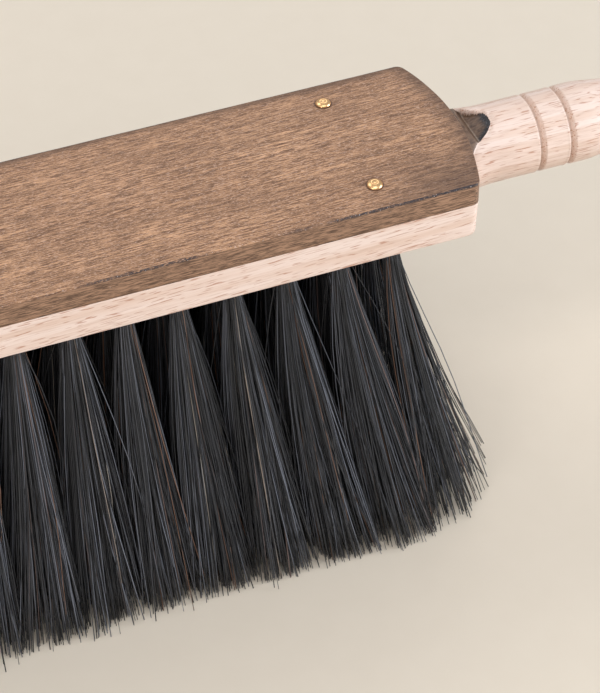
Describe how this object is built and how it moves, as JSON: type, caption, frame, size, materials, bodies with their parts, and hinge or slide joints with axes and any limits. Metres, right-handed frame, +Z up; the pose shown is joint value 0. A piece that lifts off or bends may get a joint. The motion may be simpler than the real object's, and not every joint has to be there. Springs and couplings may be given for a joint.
{
  "type": "neck duster brush",
  "caption": "Flat-headed hand duster with horsehair tufts wire-drawn into a beech board, a stained crowned cover board nailed on with brass pins, and a turned beech handle.",
  "frame": {"origin": "centre of the bounding box in plan, on the plane of the trimmed hair tips", "axes": "+X from the head to the tip of the handle, +Z up from the hair tips to the cover board, +Y across the head"},
  "size_m": [0.3056, 0.0814, 0.0893],
  "materials": {
    "beech": "fine sanded, thin clear finish",
    "handle_beech": "turned and polished",
    "stained_wood": "brown stain under satin varnish",
    "brass": "polished round-head pins",
    "wire": "drawn wire",
    "horsehair": "black horsehair with a soft sheen"
  },
  "bodies": {
    "root": {"tuft_board": "beech", "cover_board": "stained_wood", "handle": "handle_beech", "pin_1": "brass", "pin_2": "brass", "pin_3": "brass", "pin_4": "brass", "wire_r1": "wire", "wire_r2": "wire", "wire_r3": "wire", "wire_r4": "wire", "tuft_r1_c1": "horsehair", "tuft_r1_c2": "horsehair", "tuft_r1_c3": "horsehair", "tuft_r1_c4": "horsehair", "tuft_r1_c5": "horsehair", "tuft_r1_c6": "horsehair", "tuft_r1_c7": "horsehair", "tuft_r1_c8": "horsehair", "tuft_r1_c9": "horsehair", "tuft_r1_c10": "horsehair", "tuft_r1_c11": "horsehair", "tuft_r1_c12": "horsehair", "tuft_r2_c1": "horsehair", "tuft_r2_c2": "horsehair", "tuft_r2_c3": "horsehair", "tuft_r2_c4": "horsehair", "tuft_r2_c5": "horsehair", "tuft_r2_c6": "horsehair", "tuft_r2_c7": "horsehair", "tuft_r2_c8": "horsehair", "tuft_r2_c9": "horsehair", "tuft_r2_c10": "horsehair", "tuft_r2_c11": "horsehair", "tuft_r2_c12": "horsehair", "tuft_r3_c1": "horsehair", "tuft_r3_c2": "horsehair", "tuft_r3_c3": "horsehair", "tuft_r3_c4": "horsehair", "tuft_r3_c5": "horsehair", "tuft_r3_c6": "horsehair", "tuft_r3_c7": "horsehair", "tuft_r3_c8": "horsehair", "tuft_r3_c9": "horsehair", "tuft_r3_c10": "horsehair", "tuft_r3_c11": "horsehair", "tuft_r3_c12": "horsehair", "tuft_r4_c1": "horsehair", "tuft_r4_c2": "horsehair", "tuft_r4_c3": "horsehair", "tuft_r4_c4": "horsehair", "tuft_r4_c5": "horsehair", "tuft_r4_c6": "horsehair", "tuft_r4_c7": "horsehair", "tuft_r4_c8": "horsehair", "tuft_r4_c9": "horsehair", "tuft_r4_c10": "horsehair", "tuft_r4_c11": "horsehair", "tuft_r4_c12": "horsehair"}
  },
  "joints": []
}
